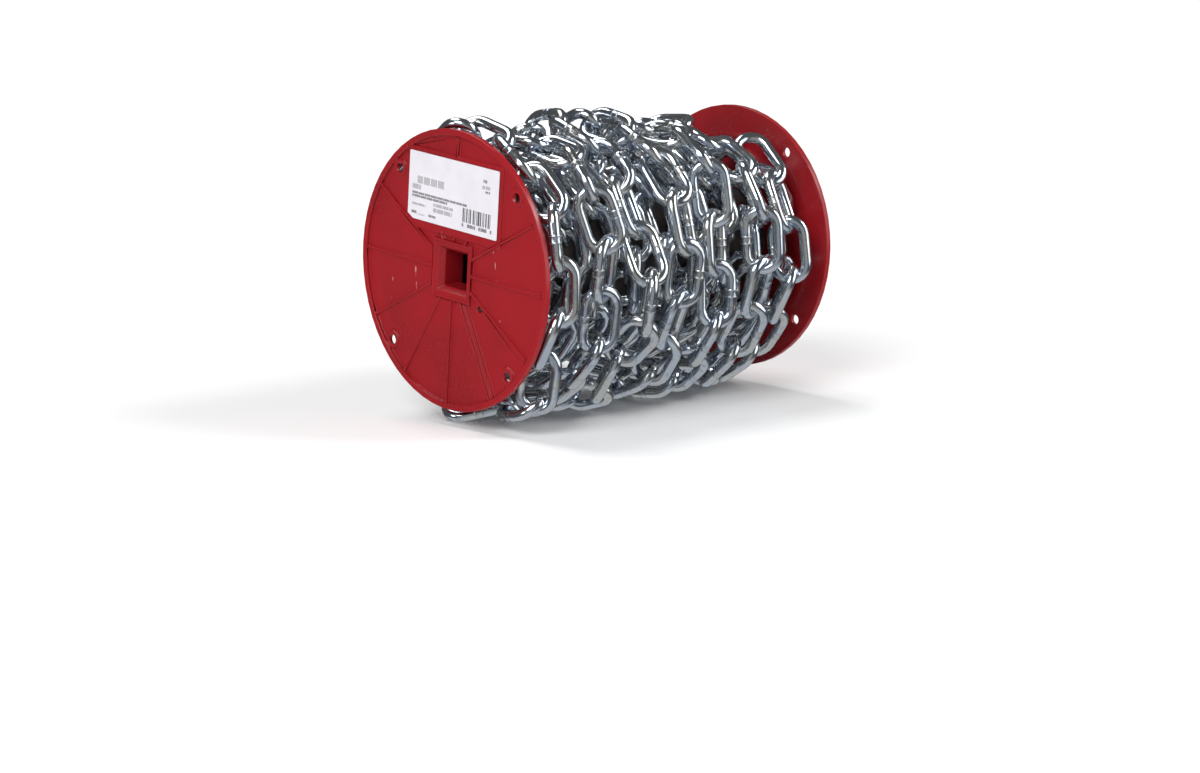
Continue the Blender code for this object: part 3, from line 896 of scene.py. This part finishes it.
class REELCHAIN_OT_outer_turns(bpy.types.Operator):
    """Lay the outer turns of chain link by link"""
    bl_idname = "reelchain.outer_turns"
    bl_label = "Outer turns"

    def execute(self, context):
        finish = zinc_plate(context.scene.chain_looks)
        model = model_link(*OUTER_LINK, WELD_PROFILE)
        for stretch, links in wound_links().items():
            if not stretch.startswith(INNER_NAME):
                piece = lay_copies(model, links, f"{stretch}_links", finish)
                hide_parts(stretch)
        bpy.data.objects.remove(model)
        return {"FINISHED"}


class REELCHAIN_OT_inner_turns(bpy.types.Operator):
    """Lay the turns of chain that show between the outer ones"""
    bl_idname = "reelchain.inner_turns"
    bl_label = "Inner turns"

    def execute(self, context):
        finish = bpy.data.materials["zinc_plate"]
        model = model_link(*INNER_LINK)
        for stretch, links in wound_links().items():
            if stretch.startswith(INNER_NAME):
                piece = lay_copies(model, links, f"{stretch}_links", finish)
                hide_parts(INNER_NAME)
        bpy.data.objects.remove(model)
        model = model_link(*DEEP_LINK)
        deep = {}
        for link in deep_links():
            deep.setdefault(link.stretch, []).append(link)
        for stretch, links in deep.items():
            piece = lay_copies(model, links, f"{stretch}_links", finish)
            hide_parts("chain_core")
        bpy.data.objects.remove(model)
        return {"FINISHED"}


class REELCHAIN_OT_flanges(bpy.types.Operator):
    """Give both flanges soft edges and moulded plastic, and the barrel its board, darkened as painted
    shade
    """
    bl_idname = "reelchain.flanges"
    bl_label = "Flanges and barrel"

    def execute(self, context):
        looks = context.scene.reel_looks
        finish = moulded_red(looks)
        soften("near_flange_moulding", "flange_near", finish, looks.edge)
        soften("far_flange_moulding", "flange_far", finish, looks.edge)
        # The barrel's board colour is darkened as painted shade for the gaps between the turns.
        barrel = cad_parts["barrel"]
        barrel.data.materials.clear()
        barrel.data.materials.append(wound_board(looks))
        return {"FINISHED"}


class REELCHAIN_OT_label(bpy.types.Operator):
    """Finish the label with plain bars and blocks of print"""
    bl_idname = "reelchain.label"
    bl_label = "Label"

    def execute(self, context):
        looks = context.scene.label_looks
        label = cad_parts["label"]
        label.data.materials.clear()
        label.data.materials.append(label_paper(looks))
        deselect_all()
        bpy.ops.mesh.primitive_cube_add(size=1)
        tile = context.object
        pale = []
        for count, patch in enumerate(PALE_LINES):
            pale += words(tile, patch, count, *PALE_STROKES)
        dark = words(tile, HEADLINE, HEADLINE_SEED, *HEADLINE_STROKES)
        for count, patch in enumerate(DARK_LINES + DIGITS):
            dark += words(tile, patch, count, *DARK_STROKES)
        module = (BARS[1] - BARS[0]) / len(BAR_MODULES)
        for count, state in enumerate(BAR_MODULES):
            if state == "1":
                left = BARS[0] + module * count
                dark.append(print_tile(tile, left, left + BAR_FILL * module, BARS[2], BARS[3]))
        bpy.data.objects.remove(tile)
        print_piece("label_pale_print", pale, label_ink("pale_ink", tuple(looks.pale_ink)))
        print_piece("label_dark_print", dark, label_ink("dark_ink", tuple(looks.ink)))
        return {"FINISHED"}


class REELCHAIN_OT_stage(bpy.types.Operator):
    """Set the floor, the lights and the camera"""
    bl_idname = "reelchain.stage"
    bl_label = "Stage"

    def execute(self, context):
        looks = context.scene.stage_looks
        deselect_all()
        bpy.ops.mesh.primitive_plane_add(size=FLOOR_SIZE, location=(0, 0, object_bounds()[0][2]))
        floor = context.object
        floor.name = "floor"
        bpy.ops.object.transform_apply(location=True)
        floor.data.materials.append(pale_floor(looks))
        floor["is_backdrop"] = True
        floor.visible_glossy = False
        bpy.ops.mesh.primitive_uv_sphere_add(segments=48, ring_count=24, radius=BACKDROP_RADIUS)
        backdrop = context.object
        backdrop.name = "backdrop"
        backdrop.data.materials.append(white_backdrop())
        for kind in ("diffuse", "glossy", "transmission", "volume_scatter", "shadow"):
            setattr(backdrop, f"visible_{kind}", False)
        backdrop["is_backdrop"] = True
        for name, towards, spread, part in SUNS:
            add_sun(name, towards, spread, looks.light * part)
        context.scene.world = studio(looks.dark)
        camera_data = bpy.data.cameras.new("camera")
        camera_data.lens = CAMERA_LENS
        camera_data.sensor_width = SENSOR
        camera_data.clip_start = 0.01
        camera = bpy.data.objects.new("camera", camera_data)
        context.collection.objects.link(camera)
        camera.location = ONTO_PART + Vector(CAMERA_PLACE)
        camera.rotation_euler = Vector(CAMERA_AIM).to_track_quat("-Z", "Y").to_euler()
        context.scene.camera = camera
        context.scene.view_settings.view_transform = "Standard"
        return {"FINISHED"}


def studio(dark):
    """A dark studio with soft boxes, and a pale one below that stands for the floor's own light."""
    world = bpy.data.worlds.new("studio")
    world.use_nodes = True
    tree = world.node_tree
    way = tree.nodes.new("ShaderNodeTexCoord").outputs["Generated"]
    total = None
    for towards, fades, full, bright in SOFT_BOXES:
        facing = tree.nodes.new("ShaderNodeVectorMath")
        facing.operation = "DOT_PRODUCT"
        facing.inputs[1].default_value = Vector(towards).normalized()
        tree.links.new(way, facing.inputs[0])
        glow = tree.nodes.new("ShaderNodeMapRange")
        glow.interpolation_type = "SMOOTHSTEP"
        glow.inputs["From Min"].default_value = fades
        glow.inputs["From Max"].default_value = full
        glow.inputs["To Max"].default_value = bright
        tree.links.new(facing.outputs["Value"], glow.inputs["Value"])
        add = tree.nodes.new("ShaderNodeMath")
        tree.links.new(glow.outputs[0], add.inputs[0])
        if total:
            tree.links.new(total, add.inputs[1])
        else:
            add.inputs[1].default_value = dark
        total = add.outputs[0]
    background = tree.nodes["Background"]
    tree.links.new(total, background.inputs["Strength"])
    background.inputs["Color"].default_value = STUDIO_TINT
    return world


def white_backdrop():
    """Plain white, seen by the camera past the edge of the floor."""
    shader = Shader("white_backdrop", (0, 0, 0), 1, 0)
    shader.set("Emission Color", (1, 1, 1, 1))
    shader.set("Emission Strength", 1.0)
    return shader.material


def add_sun(name, towards, spread, strength):
    """A distant soft light that shines from a direction; its spread is in degrees."""
    lamp_data = bpy.data.lights.new(name, "SUN")
    lamp_data.angle = radians(spread)
    lamp_data.energy = strength
    lamp = bpy.data.objects.new(name, lamp_data)
    bpy.context.collection.objects.link(lamp)
    lamp.rotation_euler = Vector(towards).to_track_quat("Z", "Y").to_euler()


class REELCHAIN_PT_panel(bpy.types.Panel):
    bl_idname = "REELCHAIN_PT_panel"
    bl_label = "Reel of Chain"
    bl_space_type = "VIEW_3D"
    bl_region_type = "UI"
    bl_category = "Reel of Chain"

    def draw(self, context):
        layout = self.layout
        scene = context.scene
        for looks, names, steps in (
                (scene.chain_looks, ("zinc", "tint", "polish"),
                 (REELCHAIN_OT_outer_turns, REELCHAIN_OT_inner_turns)),
                (scene.reel_looks, ("red", "board", "edge"), (REELCHAIN_OT_flanges,)),
                (scene.label_looks, ("paper", "ink", "pale_ink"), (REELCHAIN_OT_label,)),
                (scene.stage_looks, ("floor", "light", "dark"), (REELCHAIN_OT_stage,))):
            box = layout.box()
            for name in names:
                box.prop(looks, name)
            for step in steps:
                box.operator(step.bl_idname)


GROUPS = {"chain_looks": ChainLooks, "reel_looks": ReelLooks, "label_looks": LabelLooks,
          "stage_looks": StageLooks}
OPERATORS = (REELCHAIN_OT_outer_turns, REELCHAIN_OT_inner_turns, REELCHAIN_OT_flanges,
             REELCHAIN_OT_label, REELCHAIN_OT_stage)


def register():
    for name, group in GROUPS.items():
        bpy.utils.register_class(group)
        setattr(bpy.types.Scene, name, PointerProperty(type=group))
    for operator in OPERATORS:
        bpy.utils.register_class(operator)
    bpy.utils.register_class(REELCHAIN_PT_panel)


def unregister():
    bpy.utils.unregister_class(REELCHAIN_PT_panel)
    for operator in reversed(OPERATORS):
        bpy.utils.unregister_class(operator)
    for name, group in reversed(GROUPS.items()):
        delattr(bpy.types.Scene, name)
        bpy.utils.unregister_class(group)


def main():
    register()
    bpy.ops.reelchain.outer_turns()
    bpy.ops.reelchain.inner_turns()
    bpy.ops.reelchain.flanges()
    bpy.ops.reelchain.label()
    bpy.ops.reelchain.stage()


if __name__ == "__main__":
    main()
